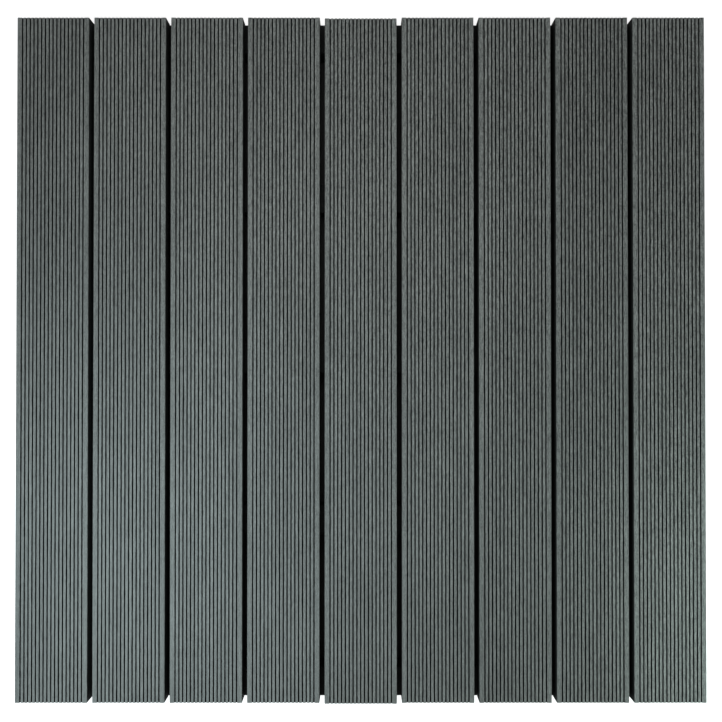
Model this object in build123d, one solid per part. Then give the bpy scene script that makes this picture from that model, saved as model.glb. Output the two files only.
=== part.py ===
from build123d import *
import math
import os

# Composite deck tile: grooved hollow slats, screwed from below to cross joists.
# Millimetres. X runs across the slats, Y along them and Z up.
# The origin is at the bottom centre, on the surface that the joists rest on.

# Slats, extruded boards that lie side by side
SLAT_COUNT = 9
SLAT_WIDTH = 100.0
SLAT_THICKNESS = 20.0
SLAT_LENGTH = 950.0
SLAT_GAP = 7.0
SLAT_EDGE_RADIUS = 1.2
SLAT_UNDER_CHAMFER = 1.0
MIDDLE_SLAT_SLIP = 1.2

# Grooves in the walking face
GROOVE_PITCH = 5.3
GROOVE_MOUTH = 1.9
GROOVE_FLOOR = 1.4
GROOVE_DEPTH = 1.6
EDGE_LAND = 6.5

# Hollow chambers along each slat, with a web in the middle for the screws
CHAMBER_COUNT = 4
SIDE_WALL = 7.0
WEB = 8.0
FLOOR_WALL = 4.5
ROOF_WALL = 5.5
CHAMBER_CHAMFER = 2.0

# Joists, solid bars across the slats, the outer two flush with the slats' ends
JOIST_COUNT = 5
JOIST_WIDTH = 40.0
JOIST_HEIGHT = 30.0
JOIST_CHAMFER = 1.0
JOIST_INSET = 4.0

# Countersunk screws, one where each slat crosses each joist, kept to a few flats each
SCREW_SIDES = 8
SCREW_SHANK = 4.5
SCREW_HEAD = 9.0
COUNTERSINK_SLOPE = 45.0
SCREW_RECESS = 1.0
SCREW_POINT = 5.0
SCREW_COVER = 9.0
JOIST_HOLE_CLEARANCE = 0.4
PILOT_CLEARANCE = 0.05

# Sizes that follow from the ones above
SLAT_PITCH = SLAT_WIDTH + SLAT_GAP
TILE_WIDTH = SLAT_COUNT * SLAT_PITCH - SLAT_GAP
GROOVE_COUNT = int((SLAT_WIDTH - 2 * EDGE_LAND - GROOVE_MOUTH) // GROOVE_PITCH) + 1
CHAMBER_WIDTH = (SLAT_WIDTH - 2 * SIDE_WALL - (CHAMBER_COUNT - 1) * WEB) / CHAMBER_COUNT
CHAMBER_HEIGHT = SLAT_THICKNESS - FLOOR_WALL - ROOF_WALL
JOIST_PITCH = (SLAT_LENGTH - JOIST_WIDTH) / (JOIST_COUNT - 1)
JOIST_LENGTH = TILE_WIDTH - 2 * JOIST_INSET
SCREW_TIP = JOIST_HEIGHT + SLAT_THICKNESS - SCREW_COVER
COUNTERSINK_SPREAD = math.tan(math.radians(COUNTERSINK_SLOPE))

slat_places = [(i - (SLAT_COUNT - 1) / 2) * SLAT_PITCH for i in range(SLAT_COUNT)]
joist_places = [(i - (JOIST_COUNT - 1) / 2) * JOIST_PITCH for i in range(JOIST_COUNT)]


def groove_section():
    """Opening of one groove, narrower at its floor, with its mouth at the slat's top."""
    mouth = GROOVE_MOUTH / 2
    floor = GROOVE_FLOOR / 2
    bottom = -GROOVE_DEPTH
    outline = Polyline((-mouth, 0), (-floor, bottom), (floor, bottom), (mouth, 0), close=True)
    return Pos(0, SLAT_THICKNESS) * make_face(outline)


def chamber_section():
    """Opening of one chamber, with its corners cut off."""
    opening = Rectangle(CHAMBER_WIDTH, CHAMBER_HEIGHT)
    cut = min(CHAMBER_CHAMFER, CHAMBER_WIDTH / 3, CHAMBER_HEIGHT / 3)
    return Pos(0, FLOOR_WALL + CHAMBER_HEIGHT / 2) * chamfer(opening.vertices(), cut)


def slat_section():
    """Section of a slat on its underside: eased edges, grooves in the top and a row of chambers."""
    section = Pos(0, SLAT_THICKNESS / 2) * Rectangle(SLAT_WIDTH, SLAT_THICKNESS)
    section = fillet(section.vertices().group_by(Axis.Y)[-1], SLAT_EDGE_RADIUS)
    section = chamfer(section.vertices().group_by(Axis.Y)[0], SLAT_UNDER_CHAMFER)
    grooves = GridLocations(GROOVE_PITCH, 0, GROOVE_COUNT, 1)
    chambers = GridLocations(CHAMBER_WIDTH + WEB, 0, CHAMBER_COUNT, 1)
    section -= [place * groove_section() for place in grooves]
    section -= [place * chamber_section() for place in chambers]
    return section


def screw_flats(across):
    """Section of a screw or of its hole, measured across its flats."""
    return RegularPolygon(across / 2, SCREW_SIDES, major_radius=False)


def countersink(start, across):
    """Cone of a countersunk head, from its wide end at a height up to the shank's size."""
    wide_end = Pos(0, 0, start) * screw_flats(across)
    height = (across - SCREW_SHANK) / 2 / COUNTERSINK_SPREAD
    return extrude(wide_end, height, taper=COUNTERSINK_SLOPE)


def screw():
    """Screw standing on its head, with a plain shank and a pointed end."""
    point_start = SCREW_TIP - SCREW_POINT
    head = countersink(SCREW_RECESS, SCREW_HEAD)
    shank = extrude(Pos(0, 0, SCREW_RECESS) * screw_flats(SCREW_SHANK), point_start - SCREW_RECESS)
    point = loft([Pos(0, 0, point_start) * screw_flats(SCREW_SHANK), Vertex(0, 0, SCREW_TIP)])
    return head + shank + point


def joist_hole():
    """Hole for one screw, whose countersink is wide enough at the joist's underside to sink the head."""
    bore = extrude(screw_flats(SCREW_SHANK + 2 * JOIST_HOLE_CLEARANCE), JOIST_HEIGHT)
    return countersink(0, SCREW_HEAD + 2 * SCREW_RECESS * COUNTERSINK_SPREAD) + bore


def pilot_hole():
    """Blind hole in a slat's middle web, as deep as the screw's point reaches."""
    mouth = Pos(0, 0, JOIST_HEIGHT) * screw_flats(SCREW_SHANK + 2 * PILOT_CLEARANCE)
    return extrude(mouth, SCREW_TIP - JOIST_HEIGHT + PILOT_CLEARANCE)


def plain_slat():
    """Slat with no holes, lying across the joists at the tile's middle."""
    return Pos(0, 0, JOIST_HEIGHT) * extrude(Plane.XZ * slat_section(), SLAT_LENGTH / 2, both=True)


def drilled_joist():
    """Joist at the tile's middle, with a countersunk hole under every slat."""
    section = Pos(0, JOIST_HEIGHT / 2) * Rectangle(JOIST_WIDTH, JOIST_HEIGHT)
    section = chamfer(section.vertices(), JOIST_CHAMFER)
    bar = extrude(Plane.YZ * section, JOIST_LENGTH / 2, both=True)
    hole = joist_hole()
    return bar - [Pos(x, 0) * hole for x in slat_places]


def screw_row():
    """The separate screws that hold every slat to the joist at the tile's middle."""
    one_screw = screw()
    return [Pos(x, 0) * one_screw for x in slat_places]


os.makedirs("parts", exist_ok=True)

board = plain_slat()
pilot = pilot_hole()
for number, x in enumerate(slat_places, start=1):
    slip = MIDDLE_SLAT_SLIP if x == 0 else 0
    slat = Pos(x, -slip) * board - [Pos(x, y) * pilot for y in joist_places]
    export_step(slat, f"parts/slat_{number}.step")

joist = drilled_joist()
screws = screw_row()
for number, y in enumerate(joist_places, start=1):
    row = Compound([Pos(0, y) * one_screw for one_screw in screws])
    export_step(Pos(0, y) * joist, f"parts/joist_{number}.step")
    export_step(row, f"parts/joist_{number}_screws.step")
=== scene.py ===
"""Looks of a composite deck tile: brushed slats, charcoal joists, steel screws and a pale studio."""

import math

import bmesh
import bpy
from bpy.props import FloatProperty, FloatVectorProperty, IntProperty, IntVectorProperty, PointerProperty
from bpy.types import Operator, Panel, PropertyGroup
from mathutils import Euler, Matrix, Vector


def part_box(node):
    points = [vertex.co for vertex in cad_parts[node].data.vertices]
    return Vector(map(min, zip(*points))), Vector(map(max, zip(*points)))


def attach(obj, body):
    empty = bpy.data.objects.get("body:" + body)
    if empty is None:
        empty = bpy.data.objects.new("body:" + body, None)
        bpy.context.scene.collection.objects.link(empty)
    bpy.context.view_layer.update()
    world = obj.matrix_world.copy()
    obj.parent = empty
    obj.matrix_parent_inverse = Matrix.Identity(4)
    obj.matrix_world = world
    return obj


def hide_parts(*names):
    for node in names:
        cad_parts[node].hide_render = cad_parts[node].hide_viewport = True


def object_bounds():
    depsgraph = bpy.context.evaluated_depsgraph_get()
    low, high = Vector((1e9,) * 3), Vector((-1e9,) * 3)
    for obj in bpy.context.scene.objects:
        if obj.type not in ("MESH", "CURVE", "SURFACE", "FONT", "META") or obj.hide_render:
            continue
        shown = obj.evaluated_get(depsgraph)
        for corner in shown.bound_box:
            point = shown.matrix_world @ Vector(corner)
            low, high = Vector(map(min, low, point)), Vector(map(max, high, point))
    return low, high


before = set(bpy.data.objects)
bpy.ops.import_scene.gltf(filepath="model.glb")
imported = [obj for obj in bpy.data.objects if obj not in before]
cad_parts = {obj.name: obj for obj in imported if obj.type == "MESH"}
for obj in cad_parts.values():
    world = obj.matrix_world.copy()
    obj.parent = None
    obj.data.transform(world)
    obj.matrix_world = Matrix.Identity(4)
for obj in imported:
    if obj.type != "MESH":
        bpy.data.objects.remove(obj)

bl_info = {
    "name": "Composite Deck Tile",
    "version": (1, 0, 0),
    "blender": (4, 5, 0),
    "location": "3D View > Sidebar > Deck Tile",
    "description": "Dresses a slatted composite deck tile and sets its studio",
    "category": "Object",
}

CAD_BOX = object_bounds()
BODY = "root"

# Nodes of the tile, in their order across and along it
SLATS = sorted(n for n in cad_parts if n.startswith("slat_"))
JOISTS = sorted(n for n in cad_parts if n.startswith("joist_") and not n.endswith("_screws"))

# Places that the frame gives
WALKING_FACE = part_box(SLATS[0])[1].z
SLAT_CENTRES = [(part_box(n)[0].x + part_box(n)[1].x) / 2 for n in SLATS]
JOIST_CENTRES = [(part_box(n)[0].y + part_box(n)[1].y) / 2 for n in JOISTS]
SCREW_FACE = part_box(f"{JOISTS[0]}_screws")[0].z
SCREW_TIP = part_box(f"{JOISTS[0]}_screws")[1].z

# Points nearer than this are one point, and the slack for telling a level or a rim
SAME_POINT = 1e-6
SLACK = 1e-5

# Lobes of the screws' driver recess
RECESS_LOBES = 6

# Places of the sockets on Blender's colour mix node
MIX_SHARE, MIX_FIRST, MIX_SECOND, MIX_RESULT = 0, 6, 7, 2

# Where most of Blender's noise lies
NOISE_LOW, NOISE_HIGH = 0.3, 0.7

# The square image that the camera's lens is worked out for
IMAGE_PIXELS = 722
SENSOR_MM = 36.0


# Settings that a user would change

class SlatSettings(PropertyGroup):
    """Finish of the slats."""

    ridge_colour: FloatVectorProperty(
        name="Ridge colour", description="Brushed grey of the ridges", subtype="COLOR", size=3,
        min=0.0, max=1.0, default=(0.163, 0.173, 0.166),
    )
    # Painted shade: near black stands for the shade in the grooves; the same colour also darkens the pits
    groove_shade_and_pit_colour: FloatVectorProperty(
        name="Groove colour", description="Unbrushed composite in the grooves", subtype="COLOR",
        size=3, min=0.0, max=1.0, default=(0.003, 0.0035, 0.0035),
    )
    skin_colour: FloatVectorProperty(
        name="Skin colour", description="Extruded skin on the sides and underside", subtype="COLOR",
        size=3, min=0.0, max=1.0, default=(0.020, 0.0215, 0.021),
    )
    sawn_colour: FloatVectorProperty(
        name="Sawn colour", description="Cut composite at the slats' ends", subtype="COLOR", size=3,
        min=0.0, max=1.0, default=(0.060, 0.064, 0.062),
    )
    fleck_colour: FloatVectorProperty(
        name="Fleck colour", description="Pale wood fibres in the composite", subtype="COLOR", size=3,
        min=0.0, max=1.0, default=(0.30, 0.32, 0.31),
    )
    brushed_depth: FloatProperty(
        name="Brushed depth", description="How far below the walking face the brushing reaches",
        unit="LENGTH",
        min=0.0, default=0.0007,
    )
    groove_pitch: FloatProperty(
        name="Groove pitch", description="Distance from one groove to the next", unit="LENGTH",
        min=0.001, default=0.0053,
    )
    groove_mouth: FloatProperty(
        name="Groove mouth", description="Width of a groove at the walking face", unit="LENGTH",
        min=0.0, default=0.0019,
    )
    grooved_width: FloatProperty(
        name="Grooved width", description="Width of the grooved part of a slat", unit="LENGTH",
        min=0.0, default=0.0875,
    )
    chip_reach: FloatProperty(
        name="Chip reach", description="How far the chips at a groove's edge reach onto the ridges",
        unit="LENGTH",
        min=0.0, default=0.00025,
    )
    groove_reach: FloatProperty(
        name="Groove reach", description="How far below the walking face the grooves reach",
        unit="LENGTH",
        min=0.0, default=0.0025,
    )
    land_tone: FloatProperty(
        name="Edge tone", description="Tone of the plain edges against the ridges", subtype="FACTOR",
        min=0.0, max=2.0, default=0.96,
    )
    relief: FloatProperty(
        name="Relief", description="Depth of the bump for the brushing marks", unit="LENGTH",
        min=0.0, default=0.002,
    )
    easing: FloatProperty(
        name="Easing", description="Rounding of the ridges' edges",
        unit="LENGTH", min=0.0, default=0.0003,
    )
    mottling: FloatProperty(
        name="Mottling", description="How much paler or darker the short fibres are", subtype="FACTOR",
        min=0.0, max=1.0, default=0.25,
    )
    # Painted light: the mottling's strength at the two corners stands in for the sheen at the front left
    # and the grazing light at the back right
    mottling_at_front_left: FloatProperty(
        name="Fine brushing", description="Share of the mottling at the front left corner",
        subtype="FACTOR",
        min=0.0, max=2.0, default=0.38,
    )
    mottling_at_back_right: FloatProperty(
        name="Coarse brushing", description="Share of the mottling at the back right corner",
        subtype="FACTOR",
        min=0.0, max=2.0, default=1.5,
    )
    worn_edge: FloatProperty(
        name="Worn edge", description="How much paler the brushing leaves the ridges' edges",
        min=1.0, default=1.2,
    )
    pale_slats: IntVectorProperty(
        name="Pale slats", description="Numbers of the slats from a paler batch", size=2,
        min=1, max=len(SLATS), default=(3, 9),
    )
    dark_slat: IntProperty(
        name="Dark slat", description="Number of the slat from a darker batch",
        min=1, max=len(SLATS), default=8,
    )
    batch_step: FloatProperty(
        name="Batch step", description="How much paler or darker those slats are", subtype="FACTOR",
        min=0.0, max=0.5, default=0.05,
    )
    uneven_slat: IntProperty(
        name="Uneven slat", description="Number of the slat that darkens towards the front",
        min=1, max=len(SLATS), default=7,
    )
    unevenness: FloatProperty(
        name="Unevenness", description="How much paler its back and darker its front are",
        subtype="FACTOR",
        min=0.0, max=0.5, default=0.1,
    )


class JoistSettings(PropertyGroup):
    """Edges, holes and finish of the joists."""

    edge_radius: FloatProperty(
        name="Edge radius", description="Rounding of the long edges",
        unit="LENGTH", min=0.0, default=0.001,
    )
    bore: FloatProperty(
        name="Bore", description="Diameter of the screw holes",
        unit="LENGTH", min=0.001, default=0.0053,
    )
    countersink: FloatProperty(
        name="Countersink", description="Diameter of the countersinks at the underside", unit="LENGTH",
        min=0.001, default=0.011,
    )
    hole_sides: IntProperty(
        name="Hole sides", description="Flats round each screw hole",
        min=12, default=36,
    )
    skin_colour: FloatVectorProperty(
        name="Skin colour", description="Extruded charcoal of the joists", subtype="COLOR", size=3,
        min=0.0, max=1.0, default=(0.012, 0.013, 0.013),
    )
    sawn_colour: FloatVectorProperty(
        name="Sawn colour", description="Cut composite at the joists' ends", subtype="COLOR", size=3,
        min=0.0, max=1.0, default=(0.040, 0.042, 0.041),
    )
    fleck_colour: FloatVectorProperty(
        name="Fleck colour", description="Pale wood fibres in the composite", subtype="COLOR", size=3,
        min=0.0, max=1.0, default=(0.16, 0.15, 0.13),
    )


class ScrewSettings(PropertyGroup):
    """Sizes and finish of the screws."""

    head_diameter: FloatProperty(
        name="Head diameter", description="Across the countersunk head",
        unit="LENGTH", min=0.001, default=0.009,
    )
    shank_diameter: FloatProperty(
        name="Thread diameter", description="Across the crests of the thread", unit="LENGTH",
        min=0.001, default=0.0045,
    )
    core_diameter: FloatProperty(
        name="Core diameter", description="Across the roots of the thread", unit="LENGTH",
        min=0.001, default=0.0032,
    )
    thread_pitch: FloatProperty(
        name="Thread pitch", description="Rise of the thread in one turn",
        unit="LENGTH", min=0.0005, default=0.0025,
    )
    thread_turns: IntProperty(
        name="Thread turns", description="Turns of thread up the shank", min=1, default=9,
    )
    point_length: FloatProperty(
        name="Point length", description="Length of the pointed end",
        unit="LENGTH", min=0.001, default=0.005,
    )
    recess_diameter: FloatProperty(
        name="Recess diameter", description="Across the six-lobed driver recess", unit="LENGTH",
        min=0.001, default=0.0046,
    )
    recess_depth: FloatProperty(
        name="Recess depth", description="Depth of the driver recess",
        unit="LENGTH", min=0.0002, default=0.0016,
    )
    sides: IntProperty(name="Sides", description="Flats round the head and shank", min=12, default=36)
    steel_colour: FloatVectorProperty(
        name="Steel colour", description="Stainless steel", subtype="COLOR", size=3,
        min=0.0, max=1.0, default=(0.56, 0.55, 0.53),
    )


class StageSettings(PropertyGroup):
    """Floor, lamps and camera."""

    floor_size: FloatProperty(
        name="Floor size", description="Side of the square floor", unit="LENGTH", min=2.0, default=40.0,
    )
    floor_colour: FloatVectorProperty(
        name="Floor colour", description="Pale floor", subtype="COLOR", size=3, min=0.0, max=1.0,
        default=(0.80, 0.80, 0.80),
    )
    # Painted shade: the floor's own colour is made dark under the tile, where shade falls
    painted_shade_colour: FloatVectorProperty(
        name="Shade colour", description="Floor in the shade under the tile", subtype="COLOR", size=3,
        min=0.0, max=1.0, default=(0.05, 0.05, 0.05),
    )
    floor_glow: FloatProperty(
        name="Floor glow", description="What keeps the floor white where the lamps are weak",
        min=0.0, default=0.70,
    )
    sky_strength: FloatProperty(
        name="Sky strength", description="Even light from all round", min=0.0, default=0.46,
    )
    key_place: FloatVectorProperty(
        name="Key lamp", description="Place of the cool lamp at the front left",
        subtype="XYZ", unit="LENGTH",
        size=3, default=(-0.36, -0.29, 0.52),
    )
    key_watts: FloatProperty(
        name="Key power", description="Power of the key lamp",
        unit="POWER", default=9.7,
    )
    key_colour: FloatVectorProperty(
        name="Key colour", description="Colour of the key lamp",
        subtype="COLOR", size=3, default=(0.77, 0.94, 1.0),
    )
    side_place: FloatVectorProperty(
        name="Side lamp", description="Place of the small lamp at the front right",
        subtype="XYZ", unit="LENGTH",
        size=3, default=(0.74, -0.42, 0.35),
    )
    side_watts: FloatProperty(
        name="Side power", description="Power of the side lamp",
        unit="POWER", default=7.6,
    )
    side_colour: FloatVectorProperty(
        name="Side colour", description="Colour of the side lamp",
        subtype="COLOR", size=3, default=(0.78, 1.0, 0.95),
    )
    back_place: FloatVectorProperty(
        name="Back lamp", description="Place of the weak lamp over the back",
        subtype="XYZ", unit="LENGTH",
        size=3, default=(-0.06, 0.25, 0.45),
    )
    back_watts: FloatProperty(
        name="Back power", description="Power of the back lamp",
        unit="POWER", default=1.7,
    )
    back_colour: FloatVectorProperty(
        name="Back colour", description="Colour of the back lamp",
        subtype="COLOR", size=3, default=(1.0, 1.0, 0.98),
    )
    lamp_radius: FloatProperty(
        name="Lamp radius", description="Radius of the soft lamps",
        unit="LENGTH", min=0.0, default=0.12,
    )
    camera_place: FloatVectorProperty(
        name="Camera", description="Place of the camera above the tile",
        subtype="XYZ", unit="LENGTH", size=3,
        default=(0.0004, -0.0100, 0.9447),
    )
    camera_tilt: FloatProperty(
        name="Camera tilt", description="Lean of the camera from straight down", subtype="ANGLE",
        default=math.radians(0.446),
    )
    focal_pixels: FloatProperty(
        name="Focal length", description="Focal length in pixels of the image", min=10.0, default=645.6,
    )


# Building materials from nodes

class Finish:
    """A node material in the making, on the piece's own coordinates."""

    def __init__(self, name):
        self.material = bpy.data.materials.new(name)
        self.material.use_nodes = True
        self.tree = self.material.node_tree
        self.surface = self.tree.nodes["Principled BSDF"]
        self.place = self.add("ShaderNodeTexCoord").outputs["Object"]
        self.facing = self.add("ShaderNodeNewGeometry").outputs["Normal"]

    def add(self, kind, **settings):
        """A new node of a kind, with its settings."""
        node = self.tree.nodes.new(kind)
        for name, value in settings.items():
            setattr(node, name, value)
        return node

    def feed(self, socket, value):
        """Link an output to a socket, or set the socket to a plain value."""
        if isinstance(value, bpy.types.NodeSocket):
            self.tree.links.new(value, socket)
        elif socket.type == "RGBA":
            socket.default_value = (*value, 1.0)
        else:
            socket.default_value = value

    def axis(self, vector, letter):
        """One coordinate of a vector."""
        split = self.add("ShaderNodeSeparateXYZ")
        self.feed(split.inputs[0], vector)
        return split.outputs[letter]

    def calc(self, operation, first, second=0.0):
        """One or two numbers put through one math operation."""
        node = self.add("ShaderNodeMath", operation=operation)
        self.feed(node.inputs[0], first)
        self.feed(node.inputs[1], second)
        return node.outputs[0]

    def plus(self, first, second):
        """Two numbers added."""
        return self.calc("ADD", first, second)

    def times(self, first, second):
        """Two numbers multiplied."""
        return self.calc("MULTIPLY", first, second)

    def span(self, value, low, high, to_low=0.0, to_high=1.0):
        """A value eased from one range to another and kept inside it."""
        node = self.add("ShaderNodeMapRange", interpolation_type="SMOOTHSTEP")
        for socket, number in zip(node.inputs, (value, low, high, to_low, to_high)):
            self.feed(socket, number)
        return node.outputs[0]

    def vary(self, noise, low, high):
        """The middle range of a noise, where most of it lies, eased to a range."""
        return self.span(noise, NOISE_LOW, NOISE_HIGH, low, high)

    def grain(self, per_metre, detail=3.0, roughness=0.55, shift=0.0):
        """Noise from 0 to 1 with its own fineness along X, Y and Z."""
        mapping = self.add("ShaderNodeMapping")
        self.feed(mapping.inputs["Vector"], self.place)
        mapping.inputs["Location"].default_value = (shift, shift, shift)
        mapping.inputs["Scale"].default_value = per_metre
        noise = self.add("ShaderNodeTexNoise")
        self.feed(noise.inputs["Vector"], mapping.outputs[0])
        noise.inputs["Scale"].default_value = 1.0
        noise.inputs["Detail"].default_value = detail
        noise.inputs["Roughness"].default_value = roughness
        return noise.outputs[0]

    def mix(self, share, first, second):
        """Two colours mixed by a share of the second."""
        node = self.add("ShaderNodeMix", data_type="RGBA")
        self.feed(node.inputs[MIX_SHARE], share)
        self.feed(node.inputs[MIX_FIRST], first)
        self.feed(node.inputs[MIX_SECOND], second)
        return node.outputs[MIX_RESULT]

    def shade(self, colour, amount):
        """A colour made paler or darker by an amount that varies over the surface."""
        node = self.add("ShaderNodeVectorMath", operation="SCALE")
        self.feed(node.inputs[0], colour)
        self.feed(node.inputs["Scale"], amount)
        return node.outputs[0]

    def toward(self, letter):
        """1 on faces that look along an axis, either way, and 0 on the others."""
        return self.span(self.calc("ABSOLUTE", self.axis(self.facing, letter)), 0.75, 0.95)

    def relief(self, height, strength, distance):
        """Bump of a given depth from a height of 0 to 1."""
        bump = self.add("ShaderNodeBump")
        bump.inputs["Strength"].default_value = strength
        bump.inputs["Distance"].default_value = distance
        self.feed(bump.inputs["Height"], height)
        self.feed(self.surface.inputs["Normal"], bump.outputs[0])

    def set(self, **values):
        """Values or links for the shader's own sockets, with underscores for spaces."""
        for name, value in values.items():
            self.feed(self.surface.inputs[name.replace("_", " ")], value)
        return self.material


def brushed_slat(settings, number, centre):
    """Composite slat: brushed grey ridges, painted shade in the grooves, and sawn ends."""
    finish = Finish(f"slat_{number}_brushed_composite")
    low, high = CAD_BOX
    across, along, height = (finish.axis(finish.place, letter) for letter in "XYZ")
    from_middle = finish.calc("ABSOLUTE", finish.calc("SUBTRACT", across, centre))
    to_groove = finish.calc("PINGPONG", from_middle, settings.groove_pitch / 2)
    grooved = finish.calc("LESS_THAN", from_middle, settings.grooved_width / 2)
    groove_edge = settings.groove_mouth / 2
    ridges_per_metre = 1.0 / settings.groove_pitch

    # Slats from a paler and a darker batch
    tone = 1.0
    if number in settings.pale_slats:
        tone += settings.batch_step
    if number == settings.dark_slat:
        tone -= settings.batch_step
    ridge = [c * tone for c in settings.ridge_colour]

    # Brush strokes, tone from ridge to ridge, slow clouds, and one slat's change from back to front
    stroke = finish.grain((900.0, 16.0, 900.0), detail=3.0, roughness=0.6)
    strand = finish.grain((ridges_per_metre, 2.5, ridges_per_metre), detail=2.0, shift=3.1)
    cloud = finish.grain((9.0, 5.0, 9.0), detail=3.0, shift=7.7)
    light = finish.times(finish.vary(stroke, 0.86, 1.14), finish.vary(strand, 0.93, 1.07))
    light = finish.times(light, finish.vary(cloud, 0.95, 1.05))
    if number == settings.uneven_slat:
        drift = finish.span(along, low.y, high.y, 1.0 - settings.unevenness, 1.0 + settings.unevenness)
        light = finish.times(light, drift)

    # Mottling by short fibres, the composite's own, with a ramp of painted light over it: weakest at the
    # front left corner for the sheen there, strongest at the back right for the grazing light
    mottle = finish.grain((1300.0, 110.0, 1300.0), detail=1.0, shift=1.3)
    nap = finish.grain((1300.0, 420.0, 1300.0), detail=1.0, shift=5.3)
    patches = finish.plus(
        finish.vary(mottle, -settings.mottling, settings.mottling),
        finish.vary(nap, -settings.mottling, settings.mottling),
    )
    mottling_ramp = finish.span(
        finish.plus(across, along), low.x + low.y, high.x + high.y,
        settings.mottling_at_front_left, settings.mottling_at_back_right,
    )
    patches = finish.plus(finish.times(patches, mottling_ramp), 1.0)
    brushed = finish.shade(ridge, finish.times(light, patches))

    # Pale fibres and dark pits, drawn out along the slat
    fibre = finish.grain((1000.0, 190.0, 1000.0), detail=2.0, shift=8.8)
    fibre = finish.span(fibre, 0.7, 0.78, 0.0, 0.45)
    pit = finish.grain((1000.0, 95.0, 1000.0), detail=2.0, shift=5.9)
    pit = finish.span(pit, 0.27, 0.34, 0.35, 0.0)
    brushed = finish.mix(fibre, brushed, settings.fleck_colour)
    brushed = finish.mix(pit, brushed, settings.groove_shade_and_pit_colour)

    # The brush wears the ridges palest beside the grooves, and the plain edges of the slat less
    worn = finish.span(to_groove, groove_edge, settings.groove_pitch / 2, settings.worn_edge, 0.97)
    worn = finish.times(worn, grooved)
    plain = finish.times(finish.calc("SUBTRACT", 1.0, grooved), settings.land_tone)
    brushed = finish.shade(brushed, finish.plus(worn, plain))

    # Extruded skin on the sides and underside, and the grooves near the top painted near black as shade,
    # with brushing dust here and there
    skin = finish.shade(settings.skin_colour, finish.vary(stroke, 0.75, 1.3))
    skin = finish.mix(fibre, skin, ridge)
    groove_shade = finish.shade(settings.groove_shade_and_pit_colour, finish.vary(stroke, 0.7, 1.4))
    dust = finish.grain((150.0, 14.0, 150.0), detail=3.0, shift=9.4)
    groove_shade = finish.mix(finish.span(dust, 0.52, 0.78, 0.0, 0.2), groove_shade, ridge)
    # The grooves' painted shade reaches this far below the walking face
    near_top = finish.calc("GREATER_THAN", height, WALKING_FACE - settings.groove_reach)
    skin = finish.mix(finish.times(near_top, grooved), skin, groove_shade)

    # The brushing ends raggedly a little way down the edges, and chips at the grooves' edges carry the
    # grooves' painted shade onto the ridges
    ragged = finish.grain((1000.0, 70.0, 1000.0), detail=3.0, roughness=0.6, shift=2.2)
    chip_edge = finish.span(ragged, 0.35, 0.75, groove_edge, groove_edge + settings.chip_reach)
    chipped = finish.times(finish.calc("LESS_THAN", to_groove, chip_edge), grooved)
    raggedness = 0.0004
    full_brushing = WALKING_FACE - 0.0001
    reach = finish.plus(height, finish.vary(ragged, 0.0, raggedness))
    top = finish.span(reach, WALKING_FACE - settings.brushed_depth, full_brushing)
    top = finish.times(top, finish.span(chipped, 0.0, 1.0, 1.0, 0.04))
    outside = finish.mix(top, skin, brushed)

    # Sawn ends, with saw marks and pale fibres
    saw_mark = finish.grain((25.0, 400.0, 1500.0), detail=2.0, shift=4.4)
    end_fleck = finish.grain((900.0, 900.0, 900.0), detail=2.0, shift=6.1)
    sawn = finish.shade(settings.sawn_colour, finish.vary(saw_mark, 0.75, 1.25))
    sawn = finish.mix(finish.span(end_fleck, 0.62, 0.74, 0.0, 0.6), sawn, settings.fleck_colour)
    end = finish.toward("Y")
    colour = finish.mix(end, outside, sawn)

    rough = finish.plus(finish.span(top, 0.0, 1.0, 0.66, 0.78), finish.vary(stroke, -0.05, 0.07))
    shine = finish.span(finish.calc("MAXIMUM", top, end), 0.0, 1.0, 0.02, 0.2)
    finish.relief(finish.plus(stroke, mottle), 0.6, settings.relief)
    return finish.set(Base_Color=colour, Roughness=rough, Specular_IOR_Level=shine)


def charcoal_joist(settings):
    """Plain extruded charcoal composite with drawn lines along the joist and sawn ends."""
    finish = Finish("joist_charcoal_composite")
    drawn = finish.grain((7.0, 900.0, 900.0), detail=4.0, roughness=0.6)
    cloud = finish.grain((14.0, 30.0, 30.0), detail=3.0, shift=2.7)
    light = finish.times(finish.vary(drawn, 0.78, 1.25), finish.vary(cloud, 0.9, 1.1))
    fibre = finish.grain((150.0, 800.0, 800.0), detail=2.0, shift=4.9)
    fibre = finish.span(fibre, 0.68, 0.78, 0.0, 0.45)
    skin = finish.mix(fibre, finish.shade(settings.skin_colour, light), settings.fleck_colour)
    saw_mark = finish.grain((400.0, 30.0, 1500.0), detail=2.0, shift=8.3)
    end_fleck = finish.grain((850.0, 850.0, 850.0), detail=2.0, shift=1.9)
    sawn = finish.shade(settings.sawn_colour, finish.vary(saw_mark, 0.75, 1.25))
    sawn = finish.mix(finish.span(end_fleck, 0.62, 0.74, 0.0, 0.6), sawn, settings.fleck_colour)
    colour = finish.mix(finish.toward("X"), skin, sawn)
    finish.relief(drawn, 0.3, 0.0003)
    return finish.set(Base_Color=colour, Roughness=finish.vary(drawn, 0.55, 0.72), Specular_IOR_Level=0.06)


def stainless_screw(settings):
    """Drawn stainless steel, faintly mottled by handling."""
    finish = Finish("screw_stainless")
    turned = finish.grain((2500.0, 2500.0, 2500.0), detail=3.0)
    mottle = finish.grain((260.0, 260.0, 260.0), detail=3.0, shift=3.3)
    colour = finish.shade(settings.steel_colour, finish.vary(mottle, 0.82, 1.1))
    finish.relief(turned, 0.15, 0.0001)
    return finish.set(Base_Color=colour, Metallic=1.0, Roughness=finish.vary(mottle, 0.28, 0.45))


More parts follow.
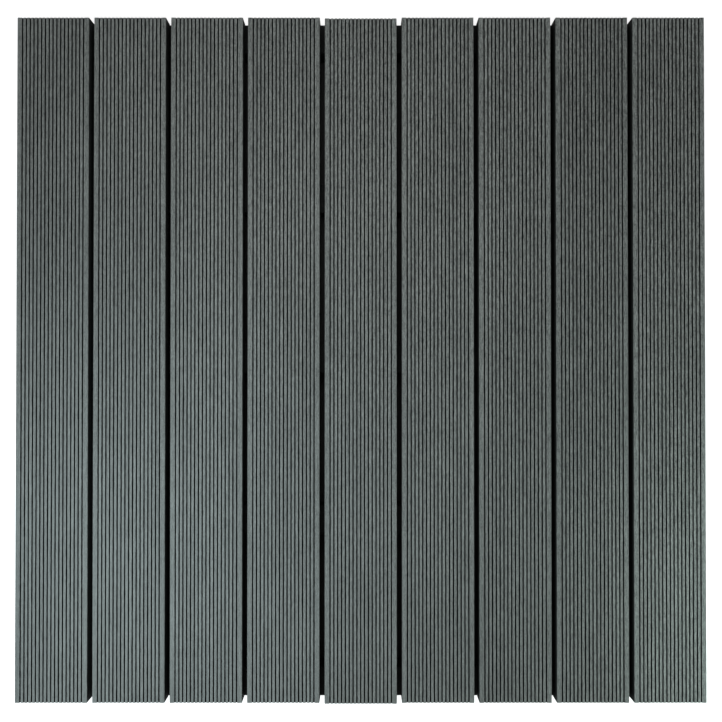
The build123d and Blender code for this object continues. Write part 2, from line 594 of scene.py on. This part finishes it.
def studio_floor(settings):
    """Pale floor that stays white to the camera, takes shadows and is painted dark under the tile as shade.
    """
    finish = Finish("studio_floor")
    reach = CAD_BOX[1]
    margin = 0.004
    from_middle_x = finish.calc("ABSOLUTE", finish.axis(finish.place, "X"))
    from_middle_y = finish.calc("ABSOLUTE", finish.axis(finish.place, "Y"))
    inside_x = finish.span(from_middle_x, reach.x - margin, reach.x, 1.0, 0.0)
    inside_y = finish.span(from_middle_y, reach.y - margin, reach.y, 1.0, 0.0)
    # Painted shade mask: 1 under the tile, where the floor is coloured dark, and 0 outside it
    under = finish.times(inside_x, inside_y)
    seen = finish.add("ShaderNodeLightPath")
    looked_at = finish.calc("MAXIMUM", seen.outputs["Is Camera Ray"], seen.outputs["Is Glossy Ray"])
    looked_at = finish.calc("MAXIMUM", looked_at, seen.outputs["Is Transmission Ray"])
    glow = finish.times(looked_at, finish.span(under, 0.0, 1.0, settings.floor_glow, 0.0))
    return finish.set(
        Base_Color=finish.mix(under, settings.floor_colour, settings.painted_shade_colour),
        Roughness=0.9,
        Specular_IOR_Level=0.0,
        Emission_Color=(1.0, 1.0, 1.0),
        Emission_Strength=glow,
    )


# Modelling helpers

def start_afresh():
    """Leave edit mode and deselect everything."""
    if bpy.context.object and bpy.context.object.mode != "OBJECT":
        bpy.ops.object.mode_set(mode="OBJECT")
    bpy.ops.object.select_all(action="DESELECT")


def pick(test, kind="verts"):
    """Select the edited mesh's vertices, edges or faces that pass a test, and no others."""
    mesh = bpy.context.object.data
    edited = bmesh.from_edit_mesh(mesh)
    for group in (edited.faces, edited.edges, edited.verts):
        for element in group:
            element.select = False
    for element in getattr(edited, kind):
        if test(element):
            element.select_set(True)
    if kind == "verts":
        edited.select_flush_mode()
    else:
        edited.select_flush(False)
    bmesh.update_edit_mesh(mesh)


def give_finish(piece, material):
    """Make a material the only one on a piece."""
    piece.data.materials.clear()
    piece.data.materials.append(material)


def take_over(piece, name, node, material):
    """Name a finished piece, and let it stand for a CAD node."""
    piece.name = name
    give_finish(piece, material)
    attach(piece, BODY)
    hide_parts(node)


def eased_slat(settings, name, centre):
    """A slat made from its CAD node, with the ridges' edges rounded off as brushing leaves them."""
    start_afresh()
    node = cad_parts[name]
    piece = node.copy()
    piece.data = node.data.copy()
    bpy.context.collection.objects.link(piece)
    piece.select_set(True)
    bpy.context.view_layer.objects.active = piece
    bpy.ops.object.mode_set(mode="EDIT")
    bpy.ops.mesh.select_all(action="SELECT")
    bpy.ops.mesh.remove_doubles(threshold=SAME_POINT)
    level = WALKING_FACE - SLACK
    half = settings.grooved_width / 2
    corner = math.radians(45)
    pick(
        lambda e: all(v.co.z > level and abs(v.co.x - centre) < half for v in e.verts)
        and abs(e.verts[0].co.x - e.verts[1].co.x) < SLACK
        and e.calc_face_angle(0.0) > corner,
        "edges",
    )
    bpy.ops.mesh.bevel(offset=settings.easing, segments=3, affect="EDGES")
    bpy.ops.mesh.select_all(action="SELECT")
    bpy.ops.mesh.dissolve_degenerate(threshold=SAME_POINT)
    bpy.ops.object.mode_set(mode="OBJECT")
    bpy.ops.object.shade_flat()
    return piece


def hole_cutter(settings):
    """Cutter for one countersunk screw hole on the Z axis: a bore, with a cone at the joist's underside."""
    bore = settings.bore / 2
    mouth = settings.countersink / 2
    past = 0.002
    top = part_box(JOISTS[0])[1].z + past
    start_afresh()
    bpy.ops.mesh.primitive_circle_add(
        vertices=settings.hole_sides, radius=mouth + past, fill_type="NGON", location=(0, 0, -past)
    )
    cutter = bpy.context.object
    bpy.ops.object.transform_apply(location=True, rotation=True, scale=True)
    bpy.ops.object.mode_set(mode="EDIT")
    bpy.ops.mesh.select_all(action="SELECT")
    cone = mouth + past - bore
    bpy.ops.mesh.extrude_region_move(TRANSFORM_OT_translate={"value": (0, 0, cone)})
    share = bore / (mouth + past)
    bpy.ops.transform.resize(value=(share, share, 1), center_override=(0, 0, cone - past))
    bpy.ops.mesh.extrude_region_move(TRANSFORM_OT_translate={"value": (0, 0, top - cone + past)})
    bpy.ops.mesh.select_all(action="SELECT")
    bpy.ops.mesh.normals_make_consistent(inside=False)
    bpy.ops.object.mode_set(mode="OBJECT")
    return cutter


def drilled_joist(settings, name, cutter):
    """A joist the size of its CAD node, with rounded edges and a countersunk hole under every slat."""
    low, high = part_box(name)
    middle = (low + high) / 2
    start_afresh()
    bpy.ops.mesh.primitive_cube_add(size=1, location=middle, scale=high - low)
    piece = bpy.context.object
    bpy.ops.object.transform_apply(location=True, rotation=True, scale=True)
    bpy.ops.object.mode_set(mode="EDIT")
    half_length = (high.x - low.x) / 2
    pick(lambda e: abs(e.verts[0].co.x - e.verts[1].co.x) > half_length, "edges")
    bpy.ops.mesh.bevel(offset=settings.edge_radius, segments=4, affect="EDGES")
    bpy.ops.object.mode_set(mode="OBJECT")

    start_afresh()
    cutters = [copy_to(cutter, Vector((x, middle.y, 0))) for x in SLAT_CENTRES]
    for copy in cutters:
        copy.select_set(True)
    bpy.context.view_layer.objects.active = cutters[0]
    bpy.ops.object.join()
    start_afresh()
    piece.select_set(True)
    bpy.context.view_layer.objects.active = piece
    modifier = piece.modifiers.new("drill", "BOOLEAN")
    modifier.operation = "DIFFERENCE"
    modifier.object = cutters[0]
    bpy.ops.object.modifier_apply(modifier=modifier.name)
    bpy.data.objects.remove(cutters[0])
    bpy.ops.object.shade_smooth_by_angle(angle=math.radians(15))
    return piece


def screw_body(settings):
    """One screw on the Z axis, head down: countersunk head with a six-lobed recess, core and point."""
    head_radius = settings.head_diameter / 2
    recess_radius = settings.recess_diameter / 2
    core_radius = settings.core_diameter / 2
    tip_radius = core_radius / 25
    neck = SCREW_FACE + head_radius - core_radius
    point_start = SCREW_TIP - settings.point_length
    recess_floor = SCREW_FACE + settings.recess_depth
    pinch = 0.8
    taper = 0.9

    start_afresh()
    bpy.ops.mesh.primitive_circle_add(
        vertices=settings.sides, radius=head_radius, fill_type="NGON", location=(0, 0, SCREW_FACE)
    )
    piece = bpy.context.object
    bpy.ops.object.transform_apply(location=True, rotation=True, scale=True)
    bpy.ops.object.mode_set(mode="EDIT")

    # Driver recess: an inset ring pinched between its lobes, then sunk into the head
    bpy.ops.mesh.select_all(action="SELECT")
    bpy.ops.mesh.inset(thickness=head_radius - recess_radius, depth=0)
    pick(
        lambda v: v.co.xy.length < (head_radius + recess_radius) / 2
        and math.cos(RECESS_LOBES * math.atan2(v.co.y, v.co.x)) < 0
    )
    bpy.ops.transform.resize(value=(pinch, pinch, 1), center_override=(0, 0, SCREW_FACE))
    pick(lambda f: f.calc_center_median().xy.length < tip_radius, "faces")
    bpy.ops.mesh.extrude_region_move(TRANSFORM_OT_translate={"value": (0, 0, settings.recess_depth)})
    bpy.ops.transform.resize(value=(taper, taper, 1), center_override=(0, 0, recess_floor))

    # Cone under the head, core and point, drawn up from the head's rim
    rim = head_radius - SLACK
    pick(lambda e: all(v.co.xy.length > rim for v in e.verts), "edges")
    for height, radius_now, radius_before in (
        (neck, core_radius, head_radius),
        (point_start, core_radius, core_radius),
        (SCREW_TIP, tip_radius, core_radius),
    ):
        before = max(v.co.z for v in bmesh.from_edit_mesh(piece.data).verts if v.select)
        bpy.ops.mesh.extrude_region_move(TRANSFORM_OT_translate={"value": (0, 0, height - before)})
        share = radius_now / radius_before
        bpy.ops.transform.resize(value=(share, share, 1), center_override=(0, 0, height))
    bpy.ops.mesh.merge(type="CENTER")
    bpy.ops.mesh.select_all(action="SELECT")
    bpy.ops.mesh.normals_make_consistent(inside=False)
    bpy.ops.object.mode_set(mode="OBJECT")
    return piece


def screw_thread(settings):
    """Thread of one screw: a small ridge wound up the core by a screw modifier, with its ends closed."""
    core_radius = settings.core_diameter / 2
    crest_radius = settings.shank_diameter / 2
    rise = settings.thread_pitch * settings.thread_turns
    low = SCREW_TIP - settings.point_length - rise - settings.thread_pitch / 4
    root = settings.thread_pitch * 0.22
    inward = root * 0.4
    upward = root * 0.5

    start_afresh()
    bpy.ops.mesh.primitive_circle_add(
        vertices=3, radius=root, fill_type="NOTHING",
        location=(core_radius, 0, low), rotation=(math.pi / 2, 0, 0),
    )
    piece = bpy.context.object
    bpy.ops.object.transform_apply(location=True, rotation=True, scale=True)
    bpy.ops.object.mode_set(mode="EDIT")
    outermost = max(v.co.z for v in bmesh.from_edit_mesh(piece.data).verts)
    pick(lambda v: v.co.z > outermost - SLACK)
    bpy.ops.transform.translate(value=(crest_radius - core_radius, 0, low - outermost))
    pick(lambda v: v.co.x < crest_radius - SLACK)
    bpy.ops.transform.translate(value=(-inward, 0, upward))
    bpy.ops.object.mode_set(mode="OBJECT")

    modifier = piece.modifiers.new("wind", "SCREW")
    modifier.angle = 2 * math.pi
    modifier.screw_offset = settings.thread_pitch
    modifier.iterations = settings.thread_turns
    modifier.steps = modifier.render_steps = settings.sides // 3
    modifier.use_merge_vertices = True
    bpy.ops.object.modifier_apply(modifier=modifier.name)
    bpy.ops.object.mode_set(mode="EDIT")
    bpy.ops.mesh.select_all(action="SELECT")
    bpy.ops.mesh.fill_holes(sides=3)
    bpy.ops.mesh.select_all(action="SELECT")
    bpy.ops.mesh.normals_make_consistent(inside=False)
    bpy.ops.object.mode_set(mode="OBJECT")
    return piece


def threaded_screw(settings):
    """Body and thread of one screw joined into one piece."""
    thread = screw_thread(settings)
    body = screw_body(settings)
    start_afresh()
    thread.select_set(True)
    body.select_set(True)
    bpy.context.view_layer.objects.active = body
    bpy.ops.object.join()
    bpy.ops.object.shade_smooth_by_angle(angle=math.radians(35))
    return body


def copy_to(piece, place):
    """A copy of a piece with its own mesh, moved to a place."""
    twin = piece.copy()
    twin.data = piece.data.copy()
    twin.data.transform(Matrix.Translation(place))
    bpy.context.collection.objects.link(twin)
    return twin


# One operator for each group of pieces, and one for the stage

class DECKTILE_OT_slats(Operator):
    """Ease the ridges of every slat and give it its brushed composite finish"""

    bl_idname = "decktile.slats"
    bl_label = "Make Slats"

    def execute(self, context):
        settings = context.scene.decktile_slats
        for number, (name, centre) in enumerate(zip(SLATS, SLAT_CENTRES), start=1):
            piece = eased_slat(settings, name, centre)
            material = brushed_slat(settings, number, centre)
            take_over(piece, f"{name}_eased", name, material)
        return {"FINISHED"}


class DECKTILE_OT_joists(Operator):
    """Model the joists with round countersunk holes and give them their charcoal composite finish"""

    bl_idname = "decktile.joists"
    bl_label = "Make Joists"

    def execute(self, context):
        settings = context.scene.decktile_joists
        material = charcoal_joist(settings)
        cutter = hole_cutter(settings)
        for name in JOISTS:
            piece = drilled_joist(settings, name, cutter)
            take_over(piece, f"{name}_drilled", name, material)
        bpy.data.objects.remove(cutter)
        return {"FINISHED"}


class DECKTILE_OT_screws(Operator):
    """Model one screw and set a row of copies under the slats, in every joist"""

    bl_idname = "decktile.screws"
    bl_label = "Make Screws"

    def execute(self, context):
        settings = context.scene.decktile_screws
        material = stainless_screw(settings)
        pattern = threaded_screw(settings)
        for joist, y in zip(JOISTS, JOIST_CENTRES):
            start_afresh()
            row = [copy_to(pattern, Vector((x, y, 0))) for x in SLAT_CENTRES]
            for screw in row:
                screw.select_set(True)
            bpy.context.view_layer.objects.active = row[0]
            bpy.ops.object.join()
            take_over(row[0], f"{joist}_threaded_screws", f"{joist}_screws", material)
        bpy.data.objects.remove(pattern)
        return {"FINISHED"}


class DECKTILE_OT_stage(Operator):
    """Set the floor, the lamps, the even light and the camera"""

    bl_idname = "decktile.stage"
    bl_label = "Set Stage"

    def execute(self, context):
        settings = context.scene.decktile_stage
        context.scene.view_settings.view_transform = "Standard"
        self.lay_floor(settings)
        self.light_sky(context.scene, settings)
        for lamp in ("key", "side", "back"):
            place = getattr(settings, f"{lamp}_place")
            watts = getattr(settings, f"{lamp}_watts")
            colour = getattr(settings, f"{lamp}_colour")
            self.hang_lamp(f"{lamp}_lamp", place, watts, colour, settings.lamp_radius)
        self.set_camera(context.scene, settings)
        return {"FINISHED"}

    def lay_floor(self, settings):
        """A wide pale floor under the joists."""
        start_afresh()
        bpy.ops.mesh.primitive_plane_add(size=settings.floor_size, location=(0, 0, 0))
        floor = bpy.context.object
        floor.name = "studio_floor"
        give_finish(floor, studio_floor(settings))

    def light_sky(self, scene, settings):
        """Even light from all round, white to the camera."""
        scene.world = bpy.data.worlds.new("studio_light")
        scene.world.use_nodes = True
        tree = scene.world.node_tree
        background = tree.nodes["Background"]
        background.inputs["Color"].default_value = (1.0, 1.0, 1.0, 1.0)
        seen = tree.nodes.new("ShaderNodeLightPath")
        strength = seen.outputs["Is Camera Ray"]
        for ray in ("Is Glossy Ray", "Is Transmission Ray"):
            either = tree.nodes.new("ShaderNodeMath")
            either.operation = "MAXIMUM"
            tree.links.new(strength, either.inputs[0])
            tree.links.new(seen.outputs[ray], either.inputs[1])
            strength = either.outputs[0]
        level = tree.nodes.new("ShaderNodeMapRange")
        tree.links.new(strength, level.inputs["Value"])
        level.inputs["To Min"].default_value = settings.sky_strength
        level.inputs["To Max"].default_value = 1.0
        tree.links.new(level.outputs[0], background.inputs["Strength"])

    def hang_lamp(self, name, place, watts, colour, radius):
        """A soft round lamp."""
        lamp = bpy.data.lights.new(name, "POINT")
        lamp.energy = watts
        lamp.color = colour
        lamp.shadow_soft_size = radius
        holder = bpy.data.objects.new(name, lamp)
        holder.location = place
        holder.visible_camera = False
        bpy.context.collection.objects.link(holder)

    def set_camera(self, scene, settings):
        """A camera that looks straight down on the walking face."""
        camera = bpy.data.cameras.new("camera")
        camera.sensor_width = SENSOR_MM
        camera.lens = SENSOR_MM * settings.focal_pixels / IMAGE_PIXELS
        holder = bpy.data.objects.new("camera", camera)
        holder.location = settings.camera_place
        holder.rotation_euler = Euler((settings.camera_tilt, 0, 0))
        bpy.context.collection.objects.link(holder)
        scene.camera = holder


class DECKTILE_PT_panel(Panel):
    """Sidebar panel with the tile's settings and operators"""

    bl_label = "Deck Tile"
    bl_idname = "DECKTILE_PT_panel"
    bl_space_type = "VIEW_3D"
    bl_region_type = "UI"
    bl_category = "Deck Tile"

    def draw(self, context):
        for label, group, operator in GROUPS:
            box = self.layout.box()
            box.label(text=label)
            settings = getattr(context.scene, group)
            for name in settings.__annotations__:
                box.prop(settings, name)
            box.operator(operator.bl_idname)


GROUPS = (
    ("Slats", "decktile_slats", DECKTILE_OT_slats),
    ("Joists", "decktile_joists", DECKTILE_OT_joists),
    ("Screws", "decktile_screws", DECKTILE_OT_screws),
    ("Stage", "decktile_stage", DECKTILE_OT_stage),
)
SETTINGS = (SlatSettings, JoistSettings, ScrewSettings, StageSettings)
CLASSES = SETTINGS + tuple(operator for _, _, operator in GROUPS) + (DECKTILE_PT_panel,)


def register():
    for cls in CLASSES:
        bpy.utils.register_class(cls)
    for (_, group, _), settings in zip(GROUPS, SETTINGS):
        setattr(bpy.types.Scene, group, PointerProperty(type=settings))


def unregister():
    for _, group, _ in GROUPS:
        delattr(bpy.types.Scene, group)
    for cls in reversed(CLASSES):
        bpy.utils.unregister_class(cls)


def main():
    register()
    bpy.ops.decktile.slats()
    bpy.ops.decktile.joists()
    bpy.ops.decktile.screws()
    bpy.ops.decktile.stage()


if __name__ == "__main__":
    main()
